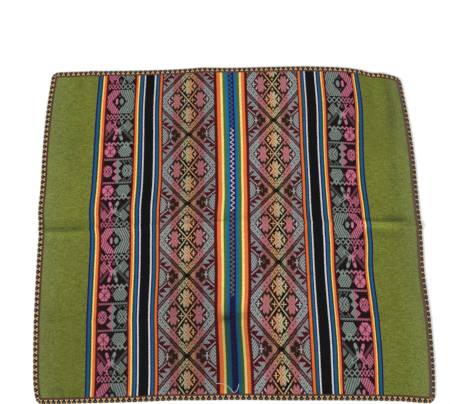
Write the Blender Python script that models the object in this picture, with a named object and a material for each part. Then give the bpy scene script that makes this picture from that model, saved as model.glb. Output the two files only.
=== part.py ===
"""A handwoven Andean carrying cloth, opened out flat and lying on a table or floor.

Two warp-striped panels lie side by side and meet at a centre seam. One tubular woven binding runs
round all four edges and holds the panels' edges in its slot. The cloth keeps the creases of the way
it was folded, and its outline is as uneven as handwoven cloth is.

A point of the cloth is named by where it was on the cloth when it was cut: how far across from the
left edge, and how far along from the near edge. The frame has Z up and Y along the warp, with its
origin under the middle of the cloth, on the surface that it lies on. Sizes are in millimetres.
"""

import bmesh
import bpy
import numpy as np

MM = 0.001

# The cloth as it was cut, with the seam between its two panels
CLOTH_WIDTH = 976.0
CLOTH_LENGTH = 858.0
CLOTH_SIZE = np.array([CLOTH_WIDTH, CLOTH_LENGTH])
CLOTH_THICK = 2.0
SEAM_ACROSS = 494.0
SEAM_GAP = 0.3

# The binding reaches over the cloth's edge on both faces, and the cloth goes into its slot
CORNER_RADIUS = 16.0
BINDING_REACH = 14.0
BINDING_WALL = 1.1
SLOT_DEPTH = 5.0
CLEARANCE = 0.3
BINDING_UNDER = BINDING_WALL + CLEARANCE
BINDING_OVER = CLOTH_THICK + CLEARANCE + BINDING_WALL

# The cloth's edge lies level for this far in, then eases down to the surface
HEM_LEVEL = CORNER_RADIUS
HEM_EASE = 30.0

# Spacing of the section lines across and along the cloth
ACROSS_STEP = 30.0
ALONG_STEP = 27.0

# Where seven lines that run along the warp lie, as x. On the cut cloth they are this far across.
WARP_LINES_ACROSS = np.array([0.0, 151.0, 303.0, SEAM_ACROSS, 683.0, 831.0, CLOTH_WIDTH])
WARP_LINES = np.array([
    # how far along, left edge, left stripe, left band, seam, right band, right stripe, right edge
    (0.0, -462.0, -328.0, -178.0, 12.0, 204.0, 350.0, 488.0),
    (38.0, -471.0, -328.0, -178.0, 11.0, 203.0, 352.0, 492.0),
    (110.0, -478.0, -330.0, -180.0, 9.0, 202.0, 354.0, 495.0),
    (215.0, -484.0, -333.0, -184.0, 6.0, 199.0, 350.0, 494.0),
    (320.0, -487.0, -334.0, -183.0, 6.0, 197.0, 344.0, 489.0),
    (395.0, -488.0, -335.0, -185.0, 6.0, 196.0, 347.0, 491.0),
    (429.0, -488.0, -337.0, -185.0, 6.0, 195.0, 344.0, 491.0),
    (465.0, -493.0, -341.0, -186.0, 7.0, 194.0, 343.0, 490.0),
    (540.0, -493.0, -339.0, -183.0, 7.0, 194.0, 337.0, 489.0),
    (645.0, -495.0, -338.0, -184.0, 7.0, 192.0, 338.0, 487.0),
    (750.0, -493.0, -338.0, -187.0, 6.0, 192.0, 343.0, 479.0),
    (CLOTH_LENGTH, -485.0, -335.0, -185.0, 4.0, 189.0, 335.0, 467.0),
])

# Where the cloth's two ends and its middle fold lie, as y
WEFT_LINES = np.array([
    # how far across, near end, middle fold, far end
    (0.0, -435.0, -17.0, 416.0),
    (120.0, -433.0, -14.0, 420.0),
    (245.0, -430.0, -8.0, 422.0),
    (367.0, -426.0, 0.0, 427.0),
    (405.0, -426.0, 3.0, 430.0),
    (SEAM_ACROSS, -425.0, 6.0, 430.0),
    (611.0, -426.0, 4.0, 433.0),
    (734.0, -426.0, 0.0, 434.0),
    (850.0, -427.0, -5.0, 425.0),
    (895.0, -428.0, -7.0, 414.0),
    (936.0, -431.0, -8.0, 411.0),
    (CLOTH_WIDTH, -433.0, -9.0, 400.0),
])

# Each fold is a ridge along a straight line on the cut cloth, and fades out at its two ends
MIDDLE_FOLD = 429.0
NEAR_FOLD = 195.0
FAR_FOLD = 655.0
FOLDS = [
    # across and along at one end, then at the other, half width, height, sharpness, fading length
    (-60.0, MIDDLE_FOLD, 1040.0, MIDDLE_FOLD, 27.0, 6.5, 1.7, 20.0),
    (-60.0, NEAR_FOLD, 1040.0, NEAR_FOLD, 24.0, 2.6, 1.6, 20.0),
    (-60.0, FAR_FOLD, 1040.0, FAR_FOLD, 24.0, 1.8, 1.6, 20.0),
    (SEAM_ACROSS, -60.0, SEAM_ACROSS, 920.0, 22.0, 1.6, 1.3, 20.0),
    (918.0, 930.0, 892.0, 585.0, 40.0, 5.4, 1.2, 90.0),
    (855.0, 900.0, 872.0, 690.0, 30.0, 3.2, 1.2, 90.0),
    (405.0, 900.0, 430.0, 700.0, 46.0, 4.2, 1.2, 110.0),
    (112.0, 900.0, 104.0, 770.0, 30.0, 3.0, 1.2, 60.0),
    (58.0, -40.0, 70.0, 90.0, 26.0, 3.4, 1.2, 60.0),
    (100.0, -40.0, 92.0, 110.0, 28.0, 2.8, 1.2, 60.0),
    (242.0, 520.0, 214.0, 700.0, 40.0, 3.0, 1.2, 90.0),
    (700.0, 250.0, 760.0, 60.0, 44.0, 3.0, 1.2, 90.0),
]


def curves(table, at):
    """The smooth curve down each column of a table, read against its first column."""
    places, values = table[:, 0], table[:, 1:]
    slopes = np.gradient(values, places, axis=0)
    at = np.clip(at, places[0], places[-1])
    i = np.clip(np.searchsorted(places, at) - 1, 0, len(places) - 2)
    step = places[i + 1] - places[i]
    f = ((at - places[i]) / step)[:, None]
    start, end = values[i], values[i + 1]
    leaving, arriving = slopes[i] * step[:, None], slopes[i + 1] * step[:, None]
    bend = 3 * (end - start) - 2 * leaving - arriving
    twist = 2 * (start - end) + leaving + arriving
    return (start + f * (leaving + f * (bend + f * twist))).T


def rounded(points):
    """Points of the cut cloth, with each square corner squeezed into a quarter of a circle."""
    toward = np.clip((CORNER_RADIUS - points) / CORNER_RADIUS, 0, None)
    toward = toward - np.clip((points - CLOTH_SIZE + CORNER_RADIUS) / CORNER_RADIUS, 0, None)
    square = np.abs(toward).max(axis=1)
    circle = np.maximum(np.hypot(*toward.T), 1e-9)
    return points + CORNER_RADIUS * toward * (1 - square / circle)[:, None]


def lie_of(points):
    """Where points of the cut cloth lie on the surface, as x and y."""
    across, along = rounded(points).T
    lines = curves(WARP_LINES, along)
    left = np.clip(np.searchsorted(WARP_LINES_ACROSS, across) - 1, 0, len(lines) - 2)
    each = np.arange(len(across))
    start, end = lines[left, each], lines[left + 1, each]
    share = (across - WARP_LINES_ACROSS[left]) / np.diff(WARP_LINES_ACROSS)[left]
    near, middle, far = curves(WEFT_LINES, across)
    v = along / CLOTH_LENGTH
    y = near * (1 - v) * (1 - 2 * v) + middle * 4 * v * (1 - v) + far * v * (2 * v - 1)
    return start + (end - start) * share, y


def eased(share):
    share = np.clip(share, 0.0, 1.0)
    return share * share * (3 - 2 * share)


def lift_of(points):
    """How far the underside of the cloth is lifted there. It is level across the hem."""
    inside = np.clip(points, HEM_LEVEL, CLOTH_SIZE - HEM_LEVEL)
    from_edge = np.minimum(inside, CLOTH_SIZE - inside).min(axis=1)
    lift = BINDING_UNDER * (1 - eased((from_edge - HEM_LEVEL) / HEM_EASE))
    for across_1, along_1, across_2, along_2, half_width, height, sharpness, fade in FOLDS:
        run = np.array([across_2 - across_1, along_2 - along_1])
        length = np.hypot(*run)
        across, along = (inside - (across_1, along_1)).T
        down = (across * run[0] + along * run[1]) / length
        aside = np.abs(along * run[0] - across * run[1]) / length
        ends = eased(np.minimum(down, length - down) / fade)
        rise = height * ends * np.clip(1 - aside / half_width, 0, 1) ** sharpness
        lift = np.maximum(lift, rise)
    return lift


def placed(points, height):
    """Points of the cut cloth where they lie, at this height over the cloth's underside."""
    x, y = lie_of(points)
    return np.column_stack([x, y, lift_of(points) + height]) * MM


def section_lines(length, step, folds):
    """Even lines from hem to hem, with one on each fold and two on either side of it."""
    near_folds = [fold + aside for fold in folds for aside in (-24.0, -9.0, 0.0, 9.0, 24.0)]
    even = np.linspace(HEM_LEVEL, length - HEM_LEVEL, round((length - 2 * HEM_LEVEL) / step) + 1)
    kept = [line for line in even if all(abs(line - fold) > 0.45 * step for fold in near_folds)]
    return np.array(sorted(kept + near_folds))


def material(name, colour, roughness):
    finish = bpy.data.materials.new(name)
    finish.use_nodes = True
    shader = finish.node_tree.nodes["Principled BSDF"]
    shader.inputs["Base Color"].default_value = (*colour, 1.0)
    shader.inputs["Roughness"].default_value = roughness
    shader.inputs["Metallic"].default_value = 0.0
    return finish


def grid_mesh(columns, rows, place):
    """A grid of faces, with each corner put where place says from its column and row numbers."""
    mesh = bmesh.new()
    bmesh.ops.create_grid(mesh, x_segments=columns, y_segments=rows, size=1.0)
    i = np.array([round((v.co.x + 1) / 2 * columns) for v in mesh.verts])
    j = np.array([round((v.co.y + 1) / 2 * rows) for v in mesh.verts])
    for corner, point in zip(mesh.verts, place(i, j)):
        corner.co = point
    return mesh


def finished(name, mesh, finish, collection):
    bmesh.ops.triangulate(mesh, faces=mesh.faces)
    bmesh.ops.recalc_face_normals(mesh, faces=mesh.faces)
    data = bpy.data.meshes.new(name)
    mesh.to_mesh(data)
    mesh.free()
    data.materials.append(finish)
    piece = bpy.data.objects.new(name, data)
    collection.objects.link(piece)


def panel(name, across_lines, along_lines, finish, collection):
    """One woven panel: its underside is a grid on the lie of the cloth, thickened straight up."""

    def underside(i, j):
        return placed(np.column_stack([across_lines[i], along_lines[j]]), 0.0)

    mesh = grid_mesh(len(across_lines) - 1, len(along_lines) - 1, underside)
    grown = bmesh.ops.extrude_face_region(mesh, geom=mesh.faces[:])["geom"]
    top = [corner for corner in grown if isinstance(corner, bmesh.types.BMVert)]
    bmesh.ops.translate(mesh, verts=top, vec=(0.0, 0.0, CLOTH_THICK * MM))
    finished(name, mesh, finish, collection)


# The binding's section, from its inner edge underneath, through the slot and over the top
BINDING_SECTION = np.array([
    # how far in from the outer edge, how high over the cloth's underside
    (BINDING_REACH, -CLEARANCE),
    (SLOT_DEPTH, -CLEARANCE),
    (SLOT_DEPTH, CLOTH_THICK + CLEARANCE),
    (BINDING_REACH, CLOTH_THICK + CLEARANCE),
    (BINDING_REACH, BINDING_OVER - 0.4),
    (BINDING_REACH - 3.0, BINDING_OVER),
    (4.0, BINDING_OVER + 0.5),
    (1.0, BINDING_OVER - 0.8),
    (0.0, 1.0),
    (1.0, -BINDING_UNDER + 0.9),
    (3.0, -BINDING_UNDER),
    (BINDING_REACH, -BINDING_UNDER),
])


def binding(across_lines, along_lines, finish, collection):
    """The binding: its section carried once round the cloth's four edges and closed on itself."""
    turns = CORNER_RADIUS * (1 - np.tan(np.radians((45.0, 30.0, 15.0))))
    across_path = np.array([*turns, *across_lines, *(CLOTH_WIDTH - turns[::-1])])
    along_path = np.array([*turns[1:], *along_lines, *(CLOTH_LENGTH - turns[:0:-1])])
    edge = np.vstack([
        np.column_stack([across_path, np.zeros_like(across_path)]),
        np.column_stack([np.full_like(along_path, CLOTH_WIDTH), along_path]),
        np.column_stack([across_path[::-1], np.full_like(across_path, CLOTH_LENGTH)]),
        np.column_stack([np.zeros_like(along_path), along_path[::-1]]),
    ])
    inward = np.clip((CORNER_RADIUS - edge) / CORNER_RADIUS, 0, 1)
    inward = inward - np.clip((edge - CLOTH_SIZE + CORNER_RADIUS) / CORNER_RADIUS, 0, 1)

    def wall(i, j):
        i, j = i % len(edge), j % len(BINDING_SECTION)
        inset, height = BINDING_SECTION[j].T
        return placed(edge[i] + inward[i] * inset[:, None], height)

    mesh = grid_mesh(len(edge), len(BINDING_SECTION), wall)
    bmesh.ops.remove_doubles(mesh, verts=mesh.verts, dist=0.01 * MM)
    finished("edge_binding", mesh, finish, collection)


def main():
    for thing in list(bpy.data.objects):
        bpy.data.objects.remove(thing)
    collection = bpy.data.collections.new("aguayo")
    bpy.context.scene.collection.children.link(collection)

    across_inside = section_lines(CLOTH_WIDTH, ACROSS_STEP, [SEAM_ACROSS])
    along_inside = section_lines(CLOTH_LENGTH, ALONG_STEP, [NEAR_FOLD, MIDDLE_FOLD])
    edge_inset = SLOT_DEPTH + CLEARANCE
    left_inside = across_inside[across_inside < SEAM_ACROSS]
    right_inside = across_inside[across_inside > SEAM_ACROSS]
    left_lines = np.array([edge_inset, *left_inside, SEAM_ACROSS - SEAM_GAP / 2])
    right_lines = np.array([SEAM_ACROSS + SEAM_GAP / 2, *right_inside, CLOTH_WIDTH - edge_inset])
    along_lines = np.array([edge_inset, *along_inside, CLOTH_LENGTH - edge_inset])

    panel("panel_left", left_lines, along_lines, material("left_weave", (0.19, 0.22, 0.05), 0.9), collection)
    panel("panel_right", right_lines, along_lines, material("right_weave", (0.19, 0.22, 0.05), 0.9), collection)
    binding(across_inside, along_inside, material("binding_yarn", (0.10, 0.07, 0.04), 0.9), collection)


main()
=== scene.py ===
"""The opened-out carrying cloth, dressed: its woven panels, binding and seam, and the set."""

from math import radians

import bpy
import numpy as np
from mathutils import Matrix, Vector


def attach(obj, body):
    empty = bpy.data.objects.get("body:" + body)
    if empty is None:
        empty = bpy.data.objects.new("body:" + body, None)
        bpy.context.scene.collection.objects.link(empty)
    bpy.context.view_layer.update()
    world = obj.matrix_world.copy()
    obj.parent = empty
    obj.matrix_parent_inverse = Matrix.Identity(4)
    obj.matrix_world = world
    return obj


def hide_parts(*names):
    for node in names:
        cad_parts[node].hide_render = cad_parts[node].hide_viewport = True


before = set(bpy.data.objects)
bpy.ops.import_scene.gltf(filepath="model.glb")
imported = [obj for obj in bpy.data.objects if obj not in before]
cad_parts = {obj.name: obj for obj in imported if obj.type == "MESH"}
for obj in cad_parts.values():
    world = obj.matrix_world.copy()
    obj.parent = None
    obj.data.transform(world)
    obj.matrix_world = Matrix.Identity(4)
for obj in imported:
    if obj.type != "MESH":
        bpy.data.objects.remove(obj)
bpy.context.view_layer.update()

# The cloth's own sizes are in millimetres, as in its solids, and the finished meshes in metres.
MM = 0.001

# The cloth as it was cut, with the seam between its two panels
CLOTH_WIDTH = 976.0
CLOTH_LENGTH = 858.0
CLOTH_SIZE = np.array([CLOTH_WIDTH, CLOTH_LENGTH])
CLOTH_THICK = 2.0
SEAM_ACROSS = 494.0
SEAM_GAP = 0.3

# The binding reaches over the cloth's edge on both faces, and the cloth goes into its slot
CORNER_RADIUS = 16.0
BINDING_REACH = 14.0
BINDING_WALL = 1.1
SLOT_DEPTH = 5.0
CLEARANCE = 0.3
BINDING_UNDER = BINDING_WALL + CLEARANCE

# The cloth's edge lies level for this far in, then eases down to the surface
HEM_LEVEL = CORNER_RADIUS
HEM_EASE = 30.0

# Where seven lines that run along the warp lie, as x. On the cut cloth they are this far across.
WARP_LINES_ACROSS = np.array([0.0, 151.0, 303.0, SEAM_ACROSS, 683.0, 831.0, CLOTH_WIDTH])
WARP_LINES = np.array([
    # how far along, left edge, left stripe, left band, seam, right band, right stripe, right edge
    (0, -462, -328, -178, 12, 204, 350, 488),
    (38, -471, -328, -178, 11, 203, 352, 492),
    (110, -478, -330, -180, 9, 202, 354, 495),
    (215, -484, -333, -184, 6, 199, 350, 494),
    (320, -487, -334, -183, 6, 197, 344, 489),
    (395, -488, -335, -185, 6, 196, 347, 491),
    (429, -488, -337, -185, 6, 195, 344, 491),
    (465, -493, -341, -186, 7, 194, 343, 490),
    (540, -493, -339, -183, 7, 194, 337, 489),
    (645, -495, -338, -184, 7, 192, 338, 487),
    (750, -493, -338, -187, 6, 192, 343, 479),
    (CLOTH_LENGTH, -485, -335, -185, 4, 189, 335, 467),
])

# Where the cloth's two ends and its middle fold lie, as y
WEFT_LINES = np.array([
    # how far across, near end, middle fold, far end
    (0, -435, -17, 416),
    (120, -433, -14, 420),
    (245, -430, -8, 422),
    (367, -426, 0, 427),
    (405, -426, 3, 430),
    (SEAM_ACROSS, -425, 6, 430),
    (611, -426, 4, 433),
    (734, -426, 0, 434),
    (850, -427, -5, 425),
    (895, -428, -7, 414),
    (936, -431, -8, 411),
    (CLOTH_WIDTH, -433, -9, 400),
])

# Each fold is a ridge along a straight line on the cut cloth, and fades out at its two ends
MIDDLE_FOLD = 429.0
NEAR_FOLD = 195.0
FAR_FOLD = 655.0
FOLDS = [
    # across and along at one end, then at the other, half width, height, sharpness, fading length
    (-60, MIDDLE_FOLD, 1040, MIDDLE_FOLD, 27, 6.5, 1.7, 20),
    (-60, NEAR_FOLD, 1040, NEAR_FOLD, 24, 2.6, 1.6, 20),
    (-60, FAR_FOLD, 1040, FAR_FOLD, 24, 1.8, 1.6, 20),
    (SEAM_ACROSS, -60, SEAM_ACROSS, 920, 22, 1.6, 1.3, 20),
    (918, 930, 892, 585, 40, 5.4, 1.2, 90),
    (855, 900, 872, 690, 30, 3.2, 1.2, 90),
    (405, 900, 430, 700, 46, 4.2, 1.2, 110),
    (112, 900, 104, 770, 30, 3, 1.2, 60),
    (58, -40, 70, 90, 26, 3.4, 1.2, 60),
    (100, -40, 92, 110, 28, 2.8, 1.2, 60),
    (242, 520, 214, 700, 40, 3, 1.2, 90),
    (700, 250, 760, 60, 44, 3, 1.2, 90),
]


def curves(table, at):
    """The smooth curve down each column of a table, read against its first column.

    Between two rows it is the cubic that leaves and arrives at the slopes of the rows about them.
    """
    places, values = table[:, 0], table[:, 1:]
    slopes = np.gradient(values, places, axis=0)
    at = np.clip(at, places[0], places[-1])
    i = np.clip(np.searchsorted(places, at) - 1, 0, len(places) - 2)
    step = places[i + 1] - places[i]
    f = ((at - places[i]) / step)[:, None]
    start, end = values[i], values[i + 1]
    leaving, arriving = slopes[i] * step[:, None], slopes[i + 1] * step[:, None]
    bend = 3 * (end - start) - 2 * leaving - arriving
    twist = 2 * (start - end) + leaving + arriving
    return (start + f * (leaving + f * (bend + f * twist))).T


def inward(points):
    """Which way the middle is from points of the cut cloth: 1 or -1 at an edge, 0 past the corner."""
    toward = np.clip((CORNER_RADIUS - points) / CORNER_RADIUS, 0, None)
    return toward - np.clip((points - CLOTH_SIZE + CORNER_RADIUS) / CORNER_RADIUS, 0, None)


def rounded(points):
    """Points of the cut cloth, with each square corner squeezed into a quarter of a circle."""
    toward = inward(points)
    square = np.abs(toward).max(axis=1)
    circle = np.maximum(np.hypot(*toward.T), 1e-9)
    return points + CORNER_RADIUS * toward * (1 - square / circle)[:, None]


def lie_of(points):
    """Where points of the cut cloth lie on the surface, as x and y.

    x runs evenly between the two nearest warp lines, and y is the parabola along the cloth through
    its near end, its middle fold and its far end.
    """
    across, along = rounded(points).T
    lines = curves(WARP_LINES, along)
    left = np.clip(np.searchsorted(WARP_LINES_ACROSS, across) - 1, 0, len(lines) - 2)
    each = np.arange(len(across))
    start, end = lines[left, each], lines[left + 1, each]
    share = (across - WARP_LINES_ACROSS[left]) / np.diff(WARP_LINES_ACROSS)[left]
    near, middle, far = curves(WEFT_LINES, across)
    v = along / CLOTH_LENGTH
    y = near * (1 - v) * (1 - 2 * v) + middle * 4 * v * (1 - v) + far * v * (2 * v - 1)
    return start + (end - start) * share, y


def eased(share):
    """A share from 0 to 1, made to start and end gently: its square, times three less twice itself."""
    share = np.clip(share, 0.0, 1.0)
    return share * share * (3 - 2 * share)


def lift_of(points):
    """How far the underside of the cloth is lifted there. It is level across the hem.

    It is the highest of the hem's lift, eased down to the surface, and of the folds, each its
    height times what is left of its half width there, raised to its sharpness.
    """
    inside = np.clip(points, HEM_LEVEL, CLOTH_SIZE - HEM_LEVEL)
    from_edge = np.minimum(inside, CLOTH_SIZE - inside).min(axis=1)
    lift = BINDING_UNDER * (1 - eased((from_edge - HEM_LEVEL) / HEM_EASE))
    for across_1, along_1, across_2, along_2, half_width, height, sharpness, fade in FOLDS:
        run = np.array([across_2 - across_1, along_2 - along_1])
        length = np.hypot(*run)
        across, along = (inside - (across_1, along_1)).T
        down = (across * run[0] + along * run[1]) / length
        aside = np.abs(along * run[0] - across * run[1]) / length
        ends = eased(np.minimum(down, length - down) / fade)
        rise = height * ends * np.clip(1 - aside / half_width, 0, 1) ** sharpness
        lift = np.maximum(lift, rise)
    return lift


def placed(points, height):
    """Points of the cut cloth where they lie, at this height over the cloth's underside."""
    x, y = lie_of(points)
    return np.column_stack([x, y, lift_of(points) + height]) * MM


# The yarns' colours, red, green and blue from 0 to 255
YARNS = {
    "field outer": (122, 130, 72), "field": (112, 120, 47), "field inner": (112, 119, 44),
    "purple": (30, 18, 82), "navy": (26, 28, 100), "blue": (12, 104, 148), "teal": (18, 92, 134),
    "green": (78, 104, 42), "moss": (42, 58, 34), "yellow": (246, 230, 138),
    "orange": (238, 113, 54), "maroon": (82, 8, 16), "white": (232, 230, 222), "black": (9, 7, 10),
    "cream": (198, 184, 146), "peach": (216, 156, 110), "rose": (188, 114, 118),
    "grey": (164, 182, 182), "soot": (12, 8, 6), "olive": (40, 26, 8), "wine": (78, 6, 18),
    "pink": (204, 110, 138), "sage": (134, 149, 140), "umber": (26, 10, 12), "eye": (26, 25, 27),
    "eye dot": (104, 108, 112), "ochre": (206, 160, 96), "straw": (232, 204, 150),
    "rust": (160, 98, 52), "edge brown": (104, 66, 56), "edge wine": (92, 54, 54),
    "edge grey": (98, 76, 70), "seam dark": (40, 34, 44), "seam olive": (126, 128, 84),
    "seam cream": (226, 216, 224), "seam blue": (66, 118, 150),
}
# How much of the table's light the dyes give back, and how fuzzy other yarn is beside the fields' 1
DYE_DEPTH = 0.905
PLAIN_FUZZ = 0.35


def yarn(name):
    """A yarn's colour as light, from the sRGB values of the table above."""
    share = np.array(YARNS[name], float) / 255
    return DYE_DEPTH * np.where(share > 0.04045, ((share + 0.055) / 1.055) ** 2.4, share / 12.92)


def blended(below, above, share):
    """From one colour to another: each is rows by columns by 3, or one colour for all."""
    share = share[..., None]
    return below * (1 - share) + above * share


def plain(colours):
    """Face colours, with the fuzz of plain yarn as their fourth part."""
    return np.column_stack([colours, np.full(len(colours), PLAIN_FUZZ)])


def linked(name, data):
    """A new object of the scene with this data."""
    made = bpy.data.objects.new(name, data)
    bpy.context.scene.collection.objects.link(made)
    return made


def grid_of(rows, columns):
    """The row number and the column number of every place in a grid, row by row."""
    return (n.ravel() for n in np.meshgrid(np.arange(rows), np.arange(columns), indexing="ij"))


def wrapped(around, steps, side_in_uv, step_in_uv):
    """UVs of a tube's points, section by section."""
    i, j = grid_of(steps, around)
    return np.column_stack([j * side_in_uv, i * step_in_uv])


def skin(name, points, faces, colours, places):
    """A mesh object from points in metres, faces, colours with fuzz for faces and UVs for points."""
    mesh = bpy.data.meshes.new(name)
    mesh.from_pydata(points, [], faces)
    mesh.polygons.foreach_set("use_smooth", np.ones(len(mesh.polygons), bool))
    dyed = mesh.attributes.new("yarn", "FLOAT_COLOR", "FACE")
    dyed.data.foreach_set("color", colours.ravel())
    corners = np.zeros(len(mesh.loops), int)
    mesh.loops.foreach_get("vertex_index", corners)
    mesh.uv_layers.new(name="weave").data.foreach_set("uv", places[corners].ravel())
    mesh.update()
    return linked(name, mesh)


# Columns of warp across each patterned band, and rows of weaving in one repeat of its pattern
DIAMOND_COLUMNS = 92
DIAMOND_ROWS = 100
FIGURE_COLUMNS = 48
FIGURE_ROWS = 200
# The figures reach to this column. They are pink as far as the second one, and sage beyond it.
FIGURE_REACH = 47.6
PINK_COLUMNS = 22
# How far out from a diamond band's middle these yarns reach, in columns
PEACH_REACH = 12.6
ROSE_REACH = 28.3
SOOT_REACH = 11.3
OLIVE_REACH = 27.7


def lozenge(x, y, wide, tall):
    """Under 1 inside an upright diamond: the share of its half width plus that of its half height."""
    return np.abs(x) / wide + np.abs(y) / tall


def oval(x, y, wide, tall):
    """Under 1 inside an ellipse: the squares of the shares of its half width and half height."""
    return (x / wide) ** 2 + (y / tall) ** 2


def streak(x, y, x0, y0, x1, y1):
    """How far points are from the straight line between two others."""
    run, rise = x1 - x0, y1 - y0
    share = np.clip(((x - x0) * run + (y - y0) * rise) / (run * run + rise * rise), 0, 1)
    return np.hypot(x - x0 - share * run, y - y0 - share * rise)


def wave(share):
    """A triangle wave, 0 at whole numbers and 1 halfway between them."""
    return 1 - np.abs(2 * (share % 1) - 1)


def hatch(number, step, wide=1):
    """Whether a number's whole part is among the first few of each so many."""
    return np.floor(number) % step < wide


def plus(x, y, wide, tall):
    """An upright cross with arms of these lengths across and along."""
    x, y = np.abs(x), np.abs(y)
    return ((y < 0.6) & (x < wide)) | ((x < 0.9) & (y < tall))


def flower(x, y):
    """Petals round a centre, up, down and to four slanted tips, and the hatching along their slant."""
    x, y = np.abs(x), np.abs(y)
    upright = (x < 4.9) & (y < 12.0 - 1.3 * np.abs(x - 2.6))
    slanted = (np.abs(y - x + 1.9) < 2.2) & (x < 9.6) & (x + y < 15.6)
    return upright | slanted, hatch(x - y, 4)


def drawing_on(shown):
    """Two ways to draw a shape on a chart of how far the pattern yarn shows, from 0 to 1.

    The first gives the whole shape one value. The second shows the yarn fully where the shape's
    hatching is light, and only this low elsewhere.
    """

    def put(shape, value=1.0):
        shown[shape] = value

    def hatched(shape, light, low):
        shown[shape] = np.where(light, 1.0, low)[shape]

    return put, hatched


# A diamond's parts, in rows from its centre along the band's middle line
ARMS_REACH = 55.0
ARMS_LINE = 51.5
BAR_REACH = 48.0
BAR_LINE = 43.2
ROOM_REACH = 39.4
# Leaves: columns in from the band's edge, then the rows from the crossing where each starts and ends
LEAVES = ((13.75, 9.0, 14.4), (6.7, 14.4, 20.0))
LEAF_WIDENS = 6.4
# Flowers: columns out and rows up to its centre, from there out and in to its crosses, vein's value
FLOWERS = ((0, 21.0, 11.0, 11.0, 0.05), (21.0, 0, 12.7, 13.5, 0.25))
# Spots: columns out and rows up to its centre, half width, half height
SPOTS = ((0, 35.4, 1.9, 2.1), (0, 7.1, 1.9, 2.1), (19.9, 15.2, 2.2, 2.4))


def corner_chart(put, edge, crossing):
    """The corner between two diamonds, by columns from the band's edge and rows from the crossing.

    A hatched half flower stands at the edge, then a cross on a dark knot and a dark clover. Two
    leaves, a stem and a stroke lie slanted beyond them.
    """
    half = oval(edge, crossing, 8.9, 11.4)
    put((half > 1) & (half < 1.75) & (crossing > 2), 0.1)
    put(half < 1, 0.92)
    put((half < 1) & hatch(edge - crossing, 4, 2), 0.15)
    put(lozenge(edge - 14.6, crossing, 6.8, 7.6) < 1, 0)
    put(plus(edge - 14.2, crossing, 4.4, 4.4), 0.9)
    put((np.abs(edge - 26.2) < 4.4) & (crossing < 3.4), 0)
    put(lozenge(edge - 21.2, crossing - 5.9, 5.6, 4.4) < 1, 0)
    for centre, start, end in LEAVES:
        wide = 0.8 + LEAF_WIDENS * (crossing - start) / (end - start)
        put((crossing > start) & (crossing < end) & (np.abs(edge - centre) < wide), 0)
    stem = streak(edge, crossing, 0.0, 15.9, 12.5, 7.4)
    put(stem < 2.6, 0)
    put(stem < 0.6, 0.9)
    put(streak(edge, crossing, 0.8, 21.0, 6.3, 25.4) < 1.5, 0)


def diamond_chart(side, row):
    """How far the pattern yarn shows in a diamond band, at columns from its middle and rows from a
    diamond's centre.

    A diamond's outline is where the rows plus a little less than the columns come to its reach.
    From outside in come the corners, the dark arms that cross between diamonds with a thin line
    along them, the light bar with its dots, and the room for four flowers round a slanted cross.
    """
    out, up = np.abs(side), np.abs(row)
    edge, crossing = DIAMOND_COLUMNS / 2 - out, DIAMOND_ROWS / 2 - up
    shown = np.where(out < ROSE_REACH, 0.72, 0.66)
    put, hatched = drawing_on(shown)
    put(hatch(edge + crossing, 4, 2) & hatch(row, 2), 0.12)
    corner_chart(put, edge, crossing)

    arms = 0.86 * out + up
    put(arms < ARMS_REACH, 0)
    line = np.abs(arms - ARMS_LINE) < 0.55
    put(line & (out > 4), 0.3)
    put(line & (out > OLIVE_REACH), 0.45)
    near = up + 0.985 * out
    bar = (arms < BAR_REACH) & (near > ROOM_REACH)
    rose = (out > PEACH_REACH) & (out < ROSE_REACH)
    hatched(bar, hatch(edge - crossing, 4, 2), np.where(rose, 0.66, 0.25))
    aside = np.abs(0.93 * out + up - BAR_LINE)
    put(bar & (aside < 0.9) & hatch(row, 4, 2), 0)
    put(bar & (np.abs(aside - 2.8) < 0.6) & hatch(row + 1, 3), 0.45)

    inside = near < ROOM_REACH
    put(inside, 0)
    from_cross = np.abs(out - up)
    room = inside & (near < 36.6) & (from_cross > 3.0)
    for centre_out, centre_up, outer, inner, vein in FLOWERS:
        x, y = out - centre_out, up - centre_up
        petals, veins = flower(x, y)
        put(room & petals)
        put(room & petals & veins, vein)
        put(inside & plus(np.abs(x) - np.where(x > 0, outer, inner), y, 4.2, 3.8))
    for centre_out, centre_up, wide, tall in SPOTS:
        put(inside & (lozenge(out - centre_out, up - centre_up, wide, tall) < 1), 0.8)
    put(inside & (from_cross < 0.9))
    return shown


def eyed_octagon(put, hatched, x, v):
    """A hatched octagon with a dark diamond in it and an oval on each side, and a chain of links."""
    tapers = (x > 0.4 + np.maximum(0, v - 8.5)) & (x < FIGURE_REACH - np.maximum(0, v - 12.5))
    hatched((v < 17.4) & tapers, (x + v / 2 + 40) % 3.8 > 1.5, 0.06)
    put(lozenge(x - 21.8, v, 13.6, 13.4) < 1, 0)
    put(oval(x - 17.0, v, 2.2, 4.6) < 1)
    sage_oval = (oval(x - 25.6, v, 3.4, 4.6) < 1) & (x >= PINK_COLUMNS)
    hatched(sage_oval, ~hatch(x - v, 3), 0.3)
    put(lozenge(x - 21.8, v - 7.8, 1.8, 1.8) < 1, 0.3)
    put((lozenge(x - 48, v - 18.2, 4, 4) < 1) & (v < 18.4), 0.5)
    put((lozenge(x, v - 18.0, 2, 2.6) < 1) & (v < 18.4), 0.25)
    link = np.where(x < PINK_COLUMNS, x / 5.5, (x - PINK_COLUMNS) / 8.67)
    put(np.abs(np.abs(v - 22.7) - 3.7 * wave(link)) < 0.85)


BIRDS = (
    # whether mirrored, columns of the body and its half width and of the foot, then as column and
    # row the neck's two ends, the head, the beak's tip and the two ends of the bar behind it
    (False, 6, 7, 15.6, (13.2, 34.8, 19.6, 41.4), (17.2, 48.6), (15, 53.6), (13.8, 42, 0.6, 54.6)),
    (True, 9, 9.8, 19.8, (15.8, 36, 23.6, 41.6), (22.6, 48.6), (19.6, 54), (17, 41.6, 0.4, 56.2)),
)


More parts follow.
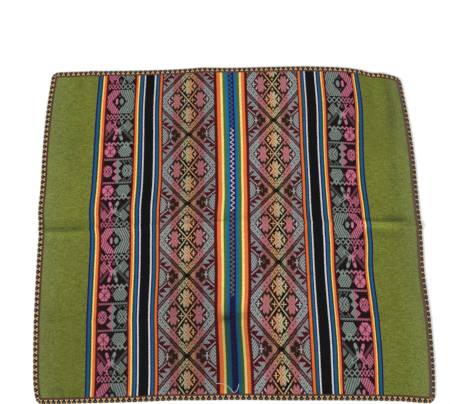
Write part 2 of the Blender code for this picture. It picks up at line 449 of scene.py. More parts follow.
def birds(put, hatched, x, v):
    """A bird on each side, with a hatched diamond for a body, a forked foot, a neck with a dark
    middle and a head with its eye, then the dim wedges and rings between the figures."""
    for mirrored, body_x, body_wide, foot_x, neck, head, beak, bar in BIRDS:
        side = FIGURE_REACH - x if mirrored else x
        body = lozenge(side - body_x, v - 36.0, body_wide, 9.4) < 1
        hatched(body, ~hatch(side - v, 4, 2), 0.12)
        from_foot = np.abs(side - foot_x)
        put((from_foot < 1.0) & (v > 29) & (v < 34))
        put((np.abs(from_foot - (30.6 - v)) < 1.0) & (v > 27.6) & (v < 30.6))
        band = streak(side, v, *neck)
        put(band < 2.7)
        put(band < 1.2, 0.12)
        put(streak(side, v, *neck[2:], *head) < 2.1)
        put(streak(side, v, *head, *beak) < 2.3)
        put(lozenge(side - head[0], v - head[1], 1.9, 2.2) < 1, 0)
        dim = streak(side, v, *bar)
        put((dim < 1.9) & (side > 0), 0.18)
        put((dim < 0.8) & hatch(v, 2), 0.3)
    put((x < 3.6 - 0.5 * np.abs(v - 44.5)) & (v > 39) & (v < 50), 0.4)
    put((x > 41.6 + 0.9 * np.abs(v - 45.5)) & (v > 41) & (v < 50.5), 0.55)
    for ring_row in (31.0, 66.5):
        ring = lozenge(x - 22.2, v - ring_row, 2.6, 3.0)
        put((ring < 1) & (ring > 0.4), 0.35)


def bloom_and_fruit(put, hatched, x, v):
    """A wavy line, then a six-sided bloom with dark spokes and a hatched fruit, each with a knot."""
    put(np.abs(v - 61 - 1.6 * (2 * wave(x / 7.6 + 0.1) - 1)) < 1.15)
    bloom_x, from_row = np.abs(x - 9.2), np.abs(v - 72.2)
    put((bloom_x < 10.2 - 0.62 * from_row) & (from_row < 7.5 - 0.16 * bloom_x))
    spoke = (bloom_x < 0.6) | (np.abs(bloom_x - 1.2 * from_row) < 0.95)
    put((bloom_x < 7.2) & (from_row < 6.2) & spoke, 0.08)
    put((bloom_x > 9.0) & (from_row < 1.0), 0.2)
    fruit = (np.abs(x - 35) < 12.0 - 0.66 * from_row) & (from_row < 7.7)
    hatched(fruit, ~hatch(x - v, 4, 2) | ~hatch(x + v, 4, 3), 0.05)
    for centre in (9.4, 36.5):
        knot = lozenge(x - centre, v - 63.6, 3.4, 3.6)
        put((knot < 1.3) & (v < 66.5) & (v > 61))
        put(knot < 0.55, 0)


# Teeth: rows from the middle row, half height, how far it points right and left
TEETH = ((9.8, 5.2, 8.0, 8.5), (0, 3.8, 5.6, 6.6))
# Faces: middle column, half width, half height, columns of its two eyes
FACES = ((6.9, 6.9, 8.2, (5.3, 8.9)), (39.7, 8.6, 8.6, (37.5, 42.3)))


def round_faces(put, hatched, x, v):
    """Two fine lines, then a round hatched face on each side of a toothed bar, and slanted stripes.

    A face is where the shares of its half width and half height, each to the power 2.6, come to
    less than 1.
    """
    put(np.abs(v - 83.6) < 0.6, 0.5)
    put((np.abs(v - 82.5) < 0.6) & hatch(x, 4), 0.85)
    w = FIGURE_ROWS / 2 - v
    put((np.abs(x - 23.4) < 1.3) & (w < 16.4))
    dots = (np.floor(x) + np.floor(v)) % 4 > 0.5
    for row, tall, right, left in TEETH:
        high = np.abs(w - row)
        points_right = (x >= PINK_COLUMNS) & (x - 23.5 < right * (1 - high / tall))
        points_left = (x < PINK_COLUMNS) & (PINK_COLUMNS - x < left * (1 - high / tall) + 0.2)
        hatched((points_right | points_left) & (high < tall), dots, 0.12)
    for centre, wide, tall, eyes in FACES:
        face = (np.abs((x - centre) / wide) ** 2.6 + (np.abs(w) / tall) ** 2.6) < 1
        slant = x - centre - 0.9 * w * np.sign(x - centre - 0.5)
        hatched(face, (slant + 60) % 4.4 > 1.9, 0.12)
        for eye in eyes:
            put(oval(x - eye, w, 1.1, 2.0) < 1, 0)
    beside = (x > 31.5 - 0.9 * np.abs(w - 9.8) + 2.0) & (lozenge(x - 39.7, w, 13.5, 14.0) > 1)
    put((w > 8.2) & (w < 15.0) & beside & ((x - v) % 5 < 1.6), 0.5)


def figure_chart(x, row):
    """How far the pattern yarn shows in a figure band, at columns from its edge and rows of weaving.

    The rows are mirrored about the first and the middle row of every repeat, so v runs from 0 at
    the octagon's middle to half a repeat at the faces' middle.
    """
    v = np.abs((row + FIGURE_ROWS / 2) % FIGURE_ROWS - FIGURE_ROWS / 2)
    shown = np.zeros(x.shape)
    for figure in (eyed_octagon, birds, bloom_and_fruit, round_faces):
        figure(*drawing_on(shown), x, v)
    return shown


def pattern_of(stripe, columns, rows, outward, phase):
    """A patterned band's ground and pattern colours, and how far its pattern yarn shows (0 to 1)."""
    number = np.arange(columns) + 0.5
    if outward > 0:
        number = columns - number
    if stripe == "figures":
        shown = figure_chart(*np.meshgrid(number, rows - phase))
        light = np.where((number < PINK_COLUMNS)[:, None], yarn("pink"), yarn("sage"))
        return yarn("umber"), light[None], shown
    side = number - columns / 2
    row = (rows + DIAMOND_ROWS / 2) % DIAMOND_ROWS - DIAMOND_ROWS / 2
    out = np.abs(side)[:, None]
    middle = np.where(side[:, None] > 0, yarn("peach"), yarn("cream"))
    light = np.where(out < PEACH_REACH, middle, np.where(out < ROSE_REACH, yarn("rose"), yarn("grey")))
    ground = np.where(out < OLIVE_REACH, yarn("olive"), yarn("wine"))
    dark = np.where(out < SOOT_REACH, yarn("soot"), ground)
    return dark[None], light[None], diamond_chart(*np.meshgrid(side, row))


# Rows of weaving are counted from a diamond's centre: the next diamonds are a hundred rows on.
WEAVING_ROWS = np.array([
    # row, how far along it is on the left panel, on the right panel
    (-5, -4, 0),
    (50, 100, 115.5),
    (100, 196.5, 222),
    (150, 294.5, 325.5),
    (200, 389, 423),
    (250, 479.5, 509.5),
    (300, 571.5, 609.5),
    (350, 667, 703),
    (400, 764.5, 807),
    (450, 858, 908),
])
# How far the stripes by the seam stray to the right of the lines that the cloth is laid by
STRAY_ACROSS = np.array([380.0, 460.0, SEAM_ACROSS, 532.0, 590.0, 683.0])
STRAY = np.array([
    # how far along, then how far astray at each of those places across
    (-20, 0, 2.2, 0.6, -1, -0.4, 0),
    (93, 0, 3.4, 0.6, -1.8, -0.4, 0),
    (131, 0, 2.6, 0, -3.6, -2, 0),
    (168, 0, 2.2, -0.6, -5.2, -3.2, 0),
    (206, 0, 1.5, -0.4, -4, -2.6, 0),
    (240, 0, 2, 0, -1.2, 0, 0),
    (311, 0, 1.7, 0.6, 0, 1.4, 0),
    (388, 0, 0.2, 0.4, -0.2, 1.4, 0),
    (448, 0, 0.2, 0.2, -0.8, 1, 0),
    (497, 0, 2.4, 0.4, -0.8, 0.4, 0),
    (549, 0, 1.4, 0, -1.6, -0.6, 0),
    (631, 0, 0.3, -0.5, -1.8, -0.8, 0),
    (700, 0, -0.8, -1, -3.2, -1.5, 0),
    (768, 0, -1.4, -2, -4, -2.2, 0),
    (880, 0, -3.2, -2.6, -3.4, -1.6, 0),
])


def dressed(points, height):
    """Where points of the cut cloth lie once dressed: as placed, and as far to the right as the
    stripes there have gone astray, which runs evenly between the places across."""
    across, along = points.T
    lines = curves(STRAY, along)
    step = np.clip(np.searchsorted(STRAY_ACROSS, across) - 1, 0, len(lines) - 2)
    each = np.arange(len(across))
    share = np.clip((across - STRAY_ACROSS[step]) / np.diff(STRAY_ACROSS)[step], 0, 1)
    laid = placed(points, height)
    laid[:, 0] += (lines[step, each] * (1 - share) + lines[step + 1, each] * share) * MM
    return laid


# How many columns of faces a stripe takes, where it isn't one
STRIPE_COLUMNS = {"diamonds": DIAMOND_COLUMNS, "figures": FIGURE_COLUMNS, "field": 11, "black": 2}
# Stripes of each panel from its left edge: how far across each ends and its yarn or pattern. Where
# two yarns mix, the second one shows on every second row.
LEFT_STRIPES = (
    (14, "field outer"), (129, "field"), (132.8, "purple"), (133.9, "purple", "teal"), (138.6, "teal"),
    (142.8, "moss"), (143.8, "moss", "yellow"), (146.4, "yellow"), (152.2, "orange"),
    (153.2, "orange", "maroon"), (158.5, "maroon"), (231, "figures"), (235, "maroon"),
    (236, "maroon", "orange"), (240.4, "orange"), (243, "yellow"), (244, "yellow", "moss"),
    (248.4, "moss"), (252.6, "teal"), (256.8, "navy"), (258.9, "white"), (260.1, "white", "black"),
    (284.4, "black"), (285.4, "black", "white"), (287.6, "white"), (288.4, "white", "purple"),
    (292, "navy"), (296.4, "teal"), (300.8, "moss"), (305, "orange"), (306, "orange", "maroon"),
    (309.6, "maroon"), (447.2, "diamonds"), (455.4, "maroon"), (456.4, "maroon", "orange"),
    (465.6, "orange"), (471.2, "yellow"), (472.2, "yellow", "green"), (478.8, "green"),
    (479.8, "green", "blue"), (487, "blue"), (491, "purple"), (SEAM_ACROSS - SEAM_GAP / 2, "purple"),
)
RIGHT_STRIPES = (
    (497, "purple"), (503.3, "purple"), (510.2, "blue"), (511.2, "blue", "green"), (518.2, "green"),
    (519.2, "green", "yellow"), (524.6, "yellow"), (533, "orange"), (534.2, "orange", "maroon"),
    (541.4, "maroon"), (676.2, "diamonds"), (679.2, "maroon"), (680.8, "maroon", "orange"),
    (685.4, "orange"), (689.8, "moss"), (693.4, "teal"), (696.4, "navy"), (698.7, "white"),
    (699.8, "white", "black"), (724.9, "black"), (725.9, "black", "white"), (728.5, "white"),
    (732.6, "navy"), (737.4, "teal"), (741.6, "moss"), (744, "yellow"), (748.8, "orange"),
    (749.8, "orange", "maroon"), (754.2, "maroon"), (825.6, "figures"), (828, "maroon"),
    (829, "maroon", "orange"), (833, "orange"), (835.4, "yellow"), (840, "moss"), (845, "teal"),
    (848.8, "purple"), (962, "field"), (CLOTH_WIDTH, "field outer"),
)
# The first and last row of each panel, and how far its figures' first repeat is from row 0
LEFT_ROWS = (-3, 450)
RIGHT_ROWS = (-5, 425)
LEFT_PHASE = 3
RIGHT_PHASE = 2
# How far in from the cloth's edge the fields' outer dye fades out, and their inner dye starts
FIELD_OUTER = 70
FIELD_INNER = 60

# Painted shade and painted highlight on the two sides of the folds, along the seam and on the soft
# ridges, and lighter and darker patches elsewhere
PAINTED_SHADE_AND_PATCHES = (
    # across and along of its middle, reach across and along, how much lighter (darker below 0)
    (60, 427.5, 90, 8.5, -0.38), (60, 442, 90, 16, -0.07), (60, 412, 90, 8, 0.11),
    (422, 430, 80, 5, -0.36), (872, 444, 100, 7, -0.27), (858, 430, 84, 11.5, 0.56),
    (850, 436, 60, 4, 0.16), (872, 405, 100, 14, -0.13), (850, 462, 60, 14, 0.07),
    (915, 451, 40, 12, -0.32), (922, 620, 18, 270, -0.08), (912, 760, 130, 160, -0.09),
    (476, 188, 40, 20, -0.22), (480, 188, 26, 9, -0.20), (520, 192, 34, 14, -0.20),
    (494, 640, 26, 330, 0.20), (494, 100, 54, 150, -0.42), (478, 150, 18, 170, -0.14),
    (66, 130, 120, 190, -0.15), (66, 520, 120, 150, 0.05), (118, 250, 26, 240, -0.06),
    (700, 300, 30, 9, -0.12), (608, 640, 90, 240, 0.10), (378, 640, 90, 260, -0.14),
    (195, 130, 50, 240, -0.16), (378, 130, 90, 240, -0.24), (82, 822, 12, 16, -0.20),
    (60, 24, 30, 24, -0.14), (104, 22, 26, 20, -0.16), (86, 640, 24, 90, -0.07),
    (70, 330, 60, 60, -0.04), (896, 780, 18, 120, 0.09), (932, 790, 18, 64, -0.15),
    (930, 725, 16, 44, -0.12), (880, 560, 40, 70, 0.06), (940, 300, 34, 120, -0.07),
)
# A painted place is even over its middle: this many times its own fading, cut off at its full depth
PAINTED_EVEN = 1.4


def tone_of(across, along):
    """How light the cloth is painted at its places across and along: 1 where nothing is painted.

    Each painted place adds its change, times an eased fade with the distance across and another along.
    """
    tone = np.ones((len(along), len(across)))
    for mark_across, mark_along, reach_across, reach_along, change in PAINTED_SHADE_AND_PATCHES:
        wide = eased(PAINTED_EVEN * (1 - np.abs(across - mark_across) / reach_across))
        tall = eased(PAINTED_EVEN * (1 - np.abs(along - mark_along) / reach_along))
        tone += change * tall[:, None] * wide
    return tone[..., None]


def field_dye(across):
    """The field's green at places across: greyer near the cloth's edge, a little warmer within."""
    from_edge = np.minimum(across, CLOTH_WIDTH - across)
    outer = np.clip(1 - from_edge / FIELD_OUTER, 0, 1)
    inner = np.clip(from_edge / FIELD_INNER - 1, 0, 1)
    warmed = blended(yarn("field"), yarn("field inner"), inner)
    return blended(warmed, yarn("field outer"), outer)


def columns_of(yarns):
    """How many columns of faces a stripe of these yarns takes: one where two yarns mix."""
    return STRIPE_COLUMNS.get(yarns[0], 1) if len(yarns) == 1 else 1


def dyes_of(stripes, middles, numbers, outward, phase):
    """A panel's colours on its front and its back, its fuzz, and how far its pattern yarn shows.

    On the back a patterned band shows the other of its two yarns.
    """
    rows, columns = len(numbers), len(middles)
    front, back = np.zeros((rows, columns, 3)), np.zeros((rows, columns, 3))
    fuzz = np.full((1, columns, 1), PLAIN_FUZZ)
    shown = np.zeros((rows, columns))
    second = (numbers % 2 == 0)[:, None, None]
    at = 0
    for _, *yarns in stripes:
        count = columns_of(yarns)
        here = slice(at, at + count)
        if yarns[0] in ("diamonds", "figures"):
            dark, light, drawn = pattern_of(yarns[0], count, numbers, outward, phase)
            shown[:, here] = drawn
            front[:, here] = blended(dark, light, drawn)
            back[:, here] = blended(dark, light, 1 - drawn)
        elif yarns[0] == "field":
            front[:, here] = back[:, here] = field_dye(middles[here])
            fuzz[:, here] = 1.0
        else:
            front[:, here] = back[:, here] = np.where(second, yarn(yarns[-1]), yarn(yarns[0]))
        at += count
    return front, back, fuzz, shown


def quads(first, rows, columns):
    """Faces of a grid whose points are numbered row by row from first, anticlockwise from above."""
    i, j = grid_of(rows, columns)
    here = first + i * (columns + 1) + j
    return np.column_stack([here, here + 1, here + columns + 2, here + columns + 1])


def rim_faces(row_picks, column_picks):
    """Faces that close a panel's four edges, and the front face that each takes its colour from.

    Each reaches from one edge of the underside's coarse grid to the points over it on the front.
    """
    rows, columns = row_picks[-1], column_picks[-1]
    top = np.arange((rows + 1) * (columns + 1)).reshape(rows + 1, -1)
    under = top.size + np.arange(len(row_picks) * len(column_picks)).reshape(len(row_picks), -1)
    faces, picked = [], []
    for picks, below, over, turn, far in (
        (row_picks, under, top, 1, columns - 1), (column_picks, under.T, top.T, -1, rows - 1)
    ):
        for k, (low, high) in enumerate(zip(picks[:-1], picks[1:])):
            for side, way, at in ((0, turn, 0), (-1, -turn, far)):
                ends, row = below[k:k + 2, side][::-way], over[low:high + 1, side][::way]
                faces.append(np.append(ends, row).tolist())
                picked.append((low, at)[::turn])
    return faces, tuple(np.array(picked).T)


# The pattern yarn's floats stand this far above the ground
FLOAT_RISE = 0.25
# Columns step aside by this much from one row to the next, but for a few at a panel's sides
ROW_SWAY = 0.2
STEADY_COLUMNS = 3
# The panels dip toward the seam
SEAM_DIP = 0.9
SEAM_DIP_REACH = 2.6
# The underside takes every so many columns and rows
UNDER_COLUMNS = 2
UNDER_ROWS = 4
# One row of weaving and one rib of warp, in the UV map's metres
ROW_IN_UV = 0.0019
RIB_IN_UV = 0.00075


def woven_panel(name, start, stripes, row_numbers, rows_column, outward, phase):
    """A panel as one closed skin, with a face for every crossing of a warp column and a weaving row.

    Point of column c and row r: the cut cloth's (across of c, along of r), laid out by dressed, at
    its thickness over its underside, higher by the floats' rise and lower by a dip toward the
    seam. The columns sway aside on alternate rows. The faces' colours are the yarns' dyes times
    a tone of painted shade and highlight along the folds and the seam and of lighter and darker
    patches, with fuzz as alpha.
    """
    edges, numbers = [start], np.arange(row_numbers[0], row_numbers[1] + 1)
    for end, *yarns in stripes:
        edges.extend(np.linspace(edges[-1], end, columns_of(yarns) + 1)[1:])
    across = np.array(edges)
    along = np.interp(numbers, WEAVING_ROWS[:, 0], WEAVING_ROWS[:, rows_column])
    along = np.clip(along, 0, CLOTH_LENGTH)
    along[-1] = CLOTH_LENGTH
    rows, columns = len(along) - 1, len(across) - 1
    middles = (across[:-1] + across[1:]) / 2
    front, back, fuzz, shown = dyes_of(stripes, middles, numbers[:-1], outward, phase)
    # The tone of painted shade and painted highlight along the folds and the seam, and of lighter and
    # darker patches
    painted_tone = tone_of(middles, (along[:-1] + along[1:]) / 2)
    fuzz = np.broadcast_to(fuzz, painted_tone.shape)
    front, back = np.dstack([front * painted_tone, fuzz]), np.dstack([back * painted_tone, fuzz])

    rise = np.zeros((rows + 1, columns + 1))
    for down in (0, 1):
        for right in (0, 1):
            rise[down:rows + down, right:columns + right] += shown / 4
    rise *= FLOAT_RISE
    sway = np.zeros(columns + 1)
    sway[STEADY_COLUMNS:-STEADY_COLUMNS] = ROW_SWAY
    grid_across = across[None] + sway * np.where(numbers % 2 == 0, 1, -1)[:, None]
    grid_along = np.broadcast_to(along[:, None], grid_across.shape)
    dip = SEAM_DIP * np.clip(1 - np.abs(grid_across - SEAM_ACROSS) / SEAM_DIP_REACH, 0, 1)
    grid = np.column_stack([grid_across.ravel(), grid_along.ravel()])
    top = dressed(grid, CLOTH_THICK + (rise - dip).ravel())

    column_picks = np.unique(np.append(np.arange(0, columns, UNDER_COLUMNS), columns))
    row_picks = np.unique(np.append(np.arange(0, rows, UNDER_ROWS), rows))
    under_across, under_along = np.meshgrid(across[column_picks], along[row_picks])
    under = dressed(np.column_stack([under_across.ravel(), under_along.ravel()]), 0.0)

    under_faces = quads(len(top), len(row_picks) - 1, len(column_picks) - 1)[:, [0, 3, 2, 1]]
    rim, picked = rim_faces(row_picks, column_picks)
    faces = quads(0, rows, columns).tolist() + under_faces.tolist() + rim
    under_colours = back[np.ix_(row_picks[:-1], column_picks[:-1])]
    colours = np.vstack([front.reshape(-1, 4), under_colours.reshape(-1, 4), front[picked]])

    row_places = np.repeat(numbers * ROW_IN_UV, columns + 1)
    under_places = np.repeat(numbers[row_picks] * ROW_IN_UV, len(column_picks))
    places = np.vstack([
        np.column_stack([grid_across.ravel() * MM, row_places]),
        np.column_stack([under_across.ravel() * MM, under_places]),
    ])
    return skin(name, np.vstack([top, under]), faces, colours, places)


# The binding's section, from the inside edge of its underside round the outside to its top and slot
SLOT_TOP = CLOTH_THICK + CLEARANCE
BINDING_SECTION = np.array([
    # how far in from the outer edge, height over the cloth's underside
    (BINDING_REACH, -CLEARANCE), (BINDING_REACH, -BINDING_UNDER),
    (9.0, -BINDING_UNDER), (4.0, -BINDING_UNDER), (2.0, -1.1), (0.8, -0.2), (0.1, 0.9),
    (0.2, 1.8), (0.9, 2.7), (1.9, 3.3), (3.0, 3.7), (4.2, 3.9), (5.4, 3.9), (6.6, 3.85), (7.8, 3.8),
    (9.0, 3.7), (10.2, 3.6), (11.2, 3.5), (12.2, 3.4), (13.2, 3.25), (BINDING_REACH, 3.0),
    (BINDING_REACH, SLOT_TOP), (SLOT_DEPTH, SLOT_TOP), (SLOT_DEPTH, -CLEARANCE),
])
# The section's sides that show from above, by the number of the point each starts at
BINDING_TOP = slice(4, 20)
# The row of eyes round the whole edge. Each swells most at its crest, a share of its length.
EYES = 268
EYE_STEPS = 11
EYE_LENGTH = 13.7
EYE_ROW = 4.8
EYE_SWELL = 0.45
EYE_CREST = 0.45
EYE_REACH = 9
# The ochre bands between the eyes: how they slant, and half their width
BAND_SLANT = 0.55
BAND_HALF = 1.2
# How far in the plain strip starts, elsewhere and down the right side
STRIP_START = 9.8
STRIP_START_RIGHT = 7.8
# One yarn of the binding, in the UV map's metres
BINDING_CELL = 0.00125


def edge_path(steps):
    """Points round the square outline of the cut cloth, spaced evenly from its near left corner."""
    width, length = CLOTH_SIZE
    perimeter = 2 * CLOTH_SIZE.sum()
    run = np.arange(steps) * perimeter / steps
    corners = np.array([0, width, width + length, 2 * width + length, perimeter])
    across = np.interp(run, corners, (0, width, width, 0, 0))
    return np.column_stack([across, np.interp(run, corners, (0, 0, length, length, 0))])


def binding_dyes(outer, inset):
    """The binding's colours: on its outer side a dark eye and its dot in every length, between two
    slanted ochre bands that meet at the row of eyes, and on its inner side a plain strip."""
    steps, around = len(outer), len(inset)
    s = (((np.arange(steps) + 0.5) / EYE_STEPS % 1 - 0.5)[:, None]) * EYE_LENGTH
    w = (0.5 * (inset + np.roll(inset, -1)))[None]
    from_row = np.abs(w - EYE_ROW)
    past_slant = EYE_LENGTH / 2 - np.abs(s) - BAND_SLANT * from_row
    bands = np.abs(past_slant) < BAND_HALF
    colours = np.tile(yarn("rust"), (steps, around, 1))
    colours[(past_slant > 0) & ~bands] = yarn("eye")
    colours[bands] = yarn("ochre")
    colours[bands & (from_row > 2.6)] = yarn("straw")
    colours[oval(s, w - 4.4, 1.6, 1.5) < 1] = yarn("eye dot")
    at_right = (outer[:, 0] == CLOTH_WIDTH)[:, None]
    strip = w > np.where(at_right, STRIP_START_RIGHT, STRIP_START)
    colours[strip] = yarn("edge brown")
    colours[strip & (np.floor(np.arange(steps) / 3) % 2 == 0)[:, None]] = yarn("edge wine")
    colours[strip & at_right] = yarn("edge grey")
    under = np.ones(around, bool)
    under[BINDING_TOP] = False
    colours[:, under] = yarn("edge wine")
    return colours.reshape(-1, 3)


def edge_binding(name):
    """The tubular binding: its section carried round the cloth's four edges and closed on itself.

    A step's outer point runs round the square of the cut cloth. Every section point is that point
    moved inward by its inset, less at a rounded corner, and lifted by its height and by the lift
    of the cloth at the outer point. Each eye swells the section outward and upward, by a cosine
    along it that fades with the inset and leaves out the underside.
    """
    steps = EYES * EYE_STEPS
    outer = edge_path(steps)
    inset, height = BINDING_SECTION.T
    swell = 0.5 + 0.5 * np.cos(2 * np.pi * (np.arange(steps) / EYE_STEPS - EYE_CREST))
    swell = EYE_SWELL * swell[:, None] * np.clip(1 - inset / EYE_REACH, 0, 1) * (height > -1.3)
    points = outer[:, None] + inward(outer)[:, None] * (inset[None] - swell)[..., None]
    raised = height[None] + swell * (height > 1.5)
    x, y = lie_of(points.reshape(-1, 2))
    around = len(inset)
    lift = np.repeat(lift_of(outer), around)
    laid = np.column_stack([x, y, lift + raised.ravel()]) * MM

    i, j = grid_of(steps, around)
    here, after = i * around, (i + 1) % steps * around
    over = (j + 1) % around
    faces = np.column_stack([here + j, here + over, after + over, after + j])
    places = wrapped(around, steps, BINDING_CELL, BINDING_CELL)
    return skin(name, laid, faces.tolist(), plain(binding_dyes(outer, inset)), places)


def thread(path, wide, tall):
    """A thread's skin round a path: an ellipse across it at every point, flat against the cloth.

    Point of turn t: the path's, plus the half width times its cosine aside, plus the half height
    times its sine upward.
    """
    sides = THREAD_SIDES
    ahead = np.gradient(path, axis=0)
    ahead /= np.linalg.norm(ahead, axis=1)[:, None]
    aside = np.cross((0.0, 0.0, 1.0), ahead)
    aside /= np.linalg.norm(aside, axis=1)[:, None]
    up = np.cross(ahead, aside)
    turn = 2 * np.pi * np.arange(sides) / sides
    ring = wide * np.cos(turn)[None, :, None] * aside[:, None]
    ring = ring + tall * np.sin(turn)[None, :, None] * up[:, None]
    points = (path[:, None] + ring).reshape(-1, 3)
    i, j = grid_of(len(path) - 1, sides)
    here, over = i * sides, (j + 1) % sides
    faces = np.column_stack([here + j, here + over, here + sides + over, here + sides + j]).tolist()
    last = (len(path) - 1) * sides
    faces.append(list(range(sides - 1, -1, -1)))
    faces.append([last + n for n in range(sides)])
    return points, faces


STITCH_TURNS = np.array([
    # how far along, how many zigzags there are up to it
    (0.0, 0.0), (460.0, 40.0), (860.0, 70.3),
])
# The zigzag along the seam. At a sharpness of 1 it would be a triangle wave.
STITCHES_FROM = 15.0
STITCHES_TO = 844.0
STITCH_STEP = 0.55
STITCH_REACH = 4.7
STITCH_SHARP = 0.93
STITCH_HEIGHT = 0.75
STITCH_SINKS = 0.25
# How far along each of the seam's threads ends, and its yarn
SEAM_THREADS = ((240, "seam dark"), (455, "seam olive"), (680, "seam cream"), (900, "seam blue"))
LOOSE_END = np.array([
    # across, along of the thread end that lies loose over the seam
    (447, 37), (458, 37), (468, 34.5), (476, 30), (482, 24.5), (487, 19), (491, 16.8), (496.5, 19),
    (500, 24), (502.5, 30), (503.5, 36),
])
LOOSE_STEPS = 120
LOOSE_HEIGHT = 0.9
# The threads' sides, their half width and half height in metres, and the loose end's half width
THREAD_SIDES = 8
THREAD_WIDE = 0.00095
THREAD_TALL = 0.0006
LOOSE_THICK = 0.0005
# How far apart a thread's sides and steps are in the UV map's metres
THREAD_SIDE_IN_UV = 0.0004
THREAD_STEP_IN_UV = 0.0006


def joining_stitches(name):
    """The thread that joins the panels: a zigzag over the seam, and its loose end near the front.

    The zigzag's point at a length along is the seam plus its reach times a rounded triangle wave,
    the arcsine of a little less than the sine of its turns. It sinks a little at each turn. The
    loose end is the smooth curve through its points.
    """
    along = np.arange(STITCHES_FROM, STITCHES_TO, STITCH_STEP)
    turns = np.interp(along, *STITCH_TURNS.T)
    swing = np.arcsin(STITCH_SHARP * np.sin(2 * np.pi * turns)) / np.arcsin(STITCH_SHARP)
    height = CLOTH_THICK + STITCH_HEIGHT - STITCH_SINKS * np.abs(swing) ** 6
    path = dressed(np.column_stack([SEAM_ACROSS + STITCH_REACH * swing, along]), height)
    points, faces = thread(path, THREAD_WIDE, THREAD_TALL)
    middles = np.repeat((along[1:] + along[:-1]) / 2, THREAD_SIDES)
    middles = np.append(middles, (along[0], along[-1]))
    colours = np.zeros((len(faces), 3))
    for end, dye in reversed(SEAM_THREADS):
        colours[middles < end] = yarn(dye)

    numbered = np.column_stack([np.arange(len(LOOSE_END)), LOOSE_END])
    loose = curves(numbered, np.linspace(0, len(LOOSE_END) - 1, LOOSE_STEPS))
    loose_path = dressed(loose.T, CLOTH_THICK + LOOSE_HEIGHT)
    loose_points, loose_faces = thread(loose_path, LOOSE_THICK, LOOSE_THICK)
    faces += [[n + len(points) for n in face] for face in loose_faces]
    colours = np.vstack([colours, np.tile(yarn("seam cream"), (len(loose_faces), 1))])
    steps = len(path) + len(loose_path)
    places = wrapped(THREAD_SIDES, steps, THREAD_SIDE_IN_UV, THREAD_STEP_IN_UV)
    return skin(name, np.vstack([points, loose_points]), faces, plain(colours), places)


class Value:
    """A number that varies over a surface. Sums, products and the like add their Math nodes."""

    def __init__(self, finish, socket):
        self.finish, self.socket = finish, socket

    def maths(self, operation, first, second=0.0):
        """What a Math node of this operation gives for the two."""
        made = self.finish.node("ShaderNodeMath", {"operation": operation}, {0: first, 1: second})
        return made["Value"]

    def __add__(self, other):
        return self.maths("ADD", self, other)

    def __sub__(self, other):
        return self.maths("SUBTRACT", self, other)

    def __rsub__(self, other):
        return self.maths("SUBTRACT", other, self)

    def __mul__(self, other):
        return self.maths("MULTIPLY", self, other)

    __radd__ = __add__
    __rmul__ = __mul__

    def wave(self):
        """The sine of the value, in radians."""
        return self.maths("SINE", self)

    def size(self):
        """The value without its sign."""
        return self.maths("ABSOLUTE", self)


class Finish:
    """A material being made: node adds one of its nodes, and surface sets its surface shader."""

    def __init__(self, name):
        self.material = bpy.data.materials.new(name)
        self.material.use_nodes = True
        self.tree = self.material.node_tree
        self.shader = self.tree.nodes["Principled BSDF"]

    def put(self, socket, value):
        """A socket gets a link where the value varies, and the value itself where it doesn't."""
        if isinstance(value, Value):
            self.tree.links.new(value.socket, socket)
        else:
            socket.default_value = value

    def node(self, kind, settings, inputs):
        """A node of a kind with its settings, then its inputs' values or links. Returns its outputs."""
        made = self.tree.nodes.new(kind)
        for setting, value in settings.items():
            setattr(made, setting, value)
        for name, value in inputs.items():
            self.put(made.inputs[name], value)
        return {socket.name: Value(self, socket) for socket in made.outputs}

    def surface(self, **values):
        """Sets inputs of the surface shader by their names and returns the finished material."""
        for name, value in values.items():
            self.put(self.shader.inputs[name.replace("_", " ")], value)
        return self.material


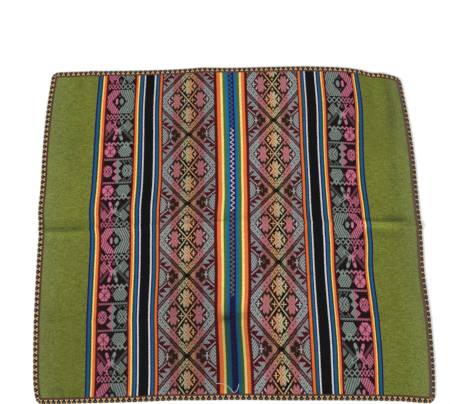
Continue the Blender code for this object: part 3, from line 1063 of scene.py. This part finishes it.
def yarn_finish(name, rib_pitch, row_pitch, heather, depth):
    """Dyed yarn: its face colour, with painted shade between ribs and rows, heathered streaks and
    broad wear.

    The colour is the dye times a shade. The shade is an even part, the ribs' and rows' own absolute
    sines, which paint shade into the grooves between them, tufts of noise where the yarn is fuzzy,
    and a broad noise for wear. The bump's height is the ribs, the rows and the streaks.
    """
    finish = Finish(name)

    def noise(place, scale, detail):
        inputs = {"Vector": place, "Scale": scale, "Detail": detail}
        return finish.node("ShaderNodeTexNoise", {}, inputs)["Fac"]

    def stretched(by_across, by_along, depth_in):
        inputs = {0: across * by_across, 1: along * by_along, 2: depth_in}
        return finish.node("ShaderNodeCombineXYZ", {}, inputs)["Vector"]

    uv = finish.node("ShaderNodeUVMap", {"uv_map": "weave"}, {})["UV"]
    at = finish.node("ShaderNodeSeparateXYZ", {}, {0: uv})
    across, along = at["X"], at["Y"]
    place = finish.node("ShaderNodeTexCoord", {}, {})["Object"]
    dyed = finish.node("ShaderNodeAttribute", {"attribute_name": "yarn"}, {})
    dye, fuzz = dyed["Color"], dyed["Alpha"]
    rib = (across * (np.pi / rib_pitch)).wave().size()
    row = (along * (np.pi / row_pitch)).wave().size()
    streaks = noise(stretched(900.0, 230.0, 0.0), 1.0, 2.0)
    grain = noise(place, 300.0, 2.0)
    ripples = noise(stretched(60.0, 360.0, 3.0), 1.0, 1.0)
    wear = noise(place, 11.0, 3.0)
    tufts = 0.5 * (streaks - 0.5) + 4.8 * (grain - 0.5) + 2.8 * (ripples - 0.5)
    # The ribs' and rows' sines are painted shade in the grooves between them; the tufts and the wear
    # are the yarn's own tone
    shade = 0.86 + 0.12 * rib + 0.08 * row + heather * tufts * fuzz + 0.22 * (wear - 0.5)
    scaled = finish.node("ShaderNodeVectorMath", {"operation": "SCALE"}, {0: dye, "Scale": shade})
    height = 0.6 * rib + 0.4 * row + 0.5 * streaks
    bumps = {"Height": height, "Distance": depth, "Strength": 0.8}
    return finish.surface(
        Base_Color=scaled["Vector"],
        Roughness=0.8 + 0.25 * (streaks - 0.5),
        Normal=finish.node("ShaderNodeBump", {}, bumps)["Normal"],
        Sheen_Weight=0.02,
        Sheen_Roughness=0.5,
        Specular_IOR_Level=0.1,
    )


left_panel = woven_panel("left_panel_weave", 0.0, LEFT_STRIPES, LEFT_ROWS, 1, -1, LEFT_PHASE)
right_panel = woven_panel(
    "right_panel_weave", SEAM_ACROSS + SEAM_GAP / 2, RIGHT_STRIPES, RIGHT_ROWS, 2, 1, RIGHT_PHASE
)
binding = edge_binding("tubular_edge_binding")
stitches = joining_stitches("joining_stitches")

for piece, finish_name, rib_pitch, row_pitch, heather, depth in (
    (left_panel, "left_panel_yarn", RIB_IN_UV, ROW_IN_UV, 0.30, 0.0004),
    (right_panel, "right_panel_yarn", RIB_IN_UV, ROW_IN_UV, 0.30, 0.0004),
    (binding, "edge_binding_yarn", BINDING_CELL, BINDING_CELL, 0.25, 0.0004),
    (stitches, "seam_thread", THREAD_SIDE_IN_UV, THREAD_STEP_IN_UV, 0.2, 0.0002),
):
    piece.data.materials.append(yarn_finish(finish_name, rib_pitch, row_pitch, heather, depth))

for piece, node, slot in (
    (left_panel, "panel_left", "left_weave"),
    (right_panel, "panel_right", "right_weave"),
    (binding, "edge_binding", "binding_yarn"),
):
    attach(piece, "root")
    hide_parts(node)
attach(stitches, "root")

# A plain pale floor lies just under the cloth
FLOOR_REACH = 15
FLOOR_HEIGHT = -0.0006
floor_mesh = bpy.data.meshes.new("floor")
floor_corners = [
    (x * FLOOR_REACH, y * FLOOR_REACH, FLOOR_HEIGHT) for x, y in ((-1, -1), (1, -1), (1, 1), (-1, 1))
]
floor_mesh.from_pydata(floor_corners, [], [(0, 1, 2, 3)])
floor = linked("floor", floor_mesh)
floor_mesh.materials.append(Finish("pale_floor").surface(
    Base_Color=(0.96, 0.96, 0.96, 1.0), Roughness=0.95, Specular_IOR_Level=0.0
))

world = bpy.data.worlds.new("studio")
bpy.context.scene.world = world
world.use_nodes = True
sky = world.node_tree.nodes["Background"]
sky.inputs["Color"].default_value = (1.0, 1.0, 1.0, 1.0)
sky.inputs["Strength"].default_value = 0.57

for name, place, watts in (
    ("key_light", (-4.6, -3.2, 3.6), 350.0),
    ("fill_light", (3.4, 1.2, 2.8), 56.0),
):
    light = bpy.data.lights.new(name, "AREA")
    light.shape = "RECTANGLE"
    light.size = light.size_y = 1.8
    light.energy = watts
    lamp = linked(name, light)
    lamp.location = place
    lamp.rotation_euler = (-Vector(place)).to_track_quat("-Z", "Y").to_euler()

# The camera is over the near half of the cloth, tilted a little toward its far edge
camera_data = bpy.data.cameras.new("camera")
camera_data.lens = 34.64
camera_data.sensor_width = 36.0
camera = linked("camera", camera_data)
camera.location = (-0.0123, -0.1485, 1.1057)
camera.rotation_euler = (radians(10.49), 0.0, 0.0)
bpy.context.scene.camera = camera
bpy.context.scene.view_settings.view_transform = "Standard"
